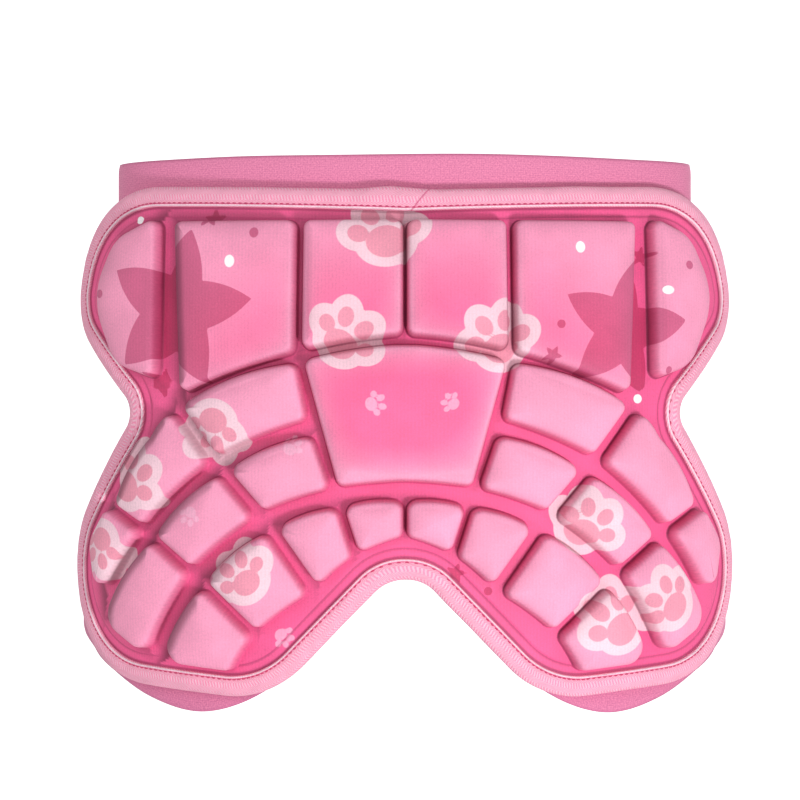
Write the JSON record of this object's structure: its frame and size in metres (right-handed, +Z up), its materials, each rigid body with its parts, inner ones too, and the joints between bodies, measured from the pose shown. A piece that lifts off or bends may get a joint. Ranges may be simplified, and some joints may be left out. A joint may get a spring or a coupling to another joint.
{
  "type": "tailbone protector",
  "caption": "Child's moulded tailbone and hip pad with raised foam blocks, a taped edge, an elastic waistband and elastic leg straps, shown in its worn form.",
  "frame": {"origin": "middle of the waistband's loop, at half the height of the band", "axes": "+Z up along the wearer's body, -Y the way the padded outer face looks (the wearer's back), +X to the wearer's right hip as seen in the picture's right"},
  "size_m": [0.3478, 0.1524, 0.2819],
  "materials": {
    "panel_fabric": "printed stretch fabric moulded over foam, hot pink in the channels",
    "block_fabric": "printed stretch fabric moulded over foam, light pink on the blocks",
    "edge_tape": "light pink herringbone tape with a stitched line",
    "elastic": "dusty mauve woven elastic, matt"
  },
  "bodies": {
    "root": {"base_panel": "panel_fabric", "edge_tape": "edge_tape", "block_centre": "block_fabric", "block_top_inner_right": "block_fabric", "block_top_inner_left": "block_fabric", "block_top_middle_right": "block_fabric", "block_top_middle_left": "block_fabric", "block_top_outer_right": "block_fabric", "block_top_outer_left": "block_fabric", "block_upper_inner_right": "block_fabric", "block_upper_inner_left": "block_fabric", "block_upper_outer_right": "block_fabric", "block_upper_outer_left": "block_fabric", "block_upper_rim_right": "block_fabric", "block_upper_rim_left": "block_fabric", "block_lower_inner_right": "block_fabric", "block_lower_inner_left": "block_fabric", "block_lower_middle_right": "block_fabric", "block_lower_middle_left": "block_fabric", "block_lower_rim_right": "block_fabric", "block_lower_rim_left": "block_fabric", "block_edge_inner_right": "block_fabric", "block_edge_inner_left": "block_fabric", "block_edge_middle_right": "block_fabric", "block_edge_middle_left": "block_fabric", "block_edge_outer_right": "block_fabric", "block_edge_outer_left": "block_fabric", "block_edge_rim_right": "block_fabric", "block_edge_rim_left": "block_fabric", "waistband": "elastic", "leg_strap_right": "elastic", "leg_strap_left": "elastic"}
  },
  "joints": []
}
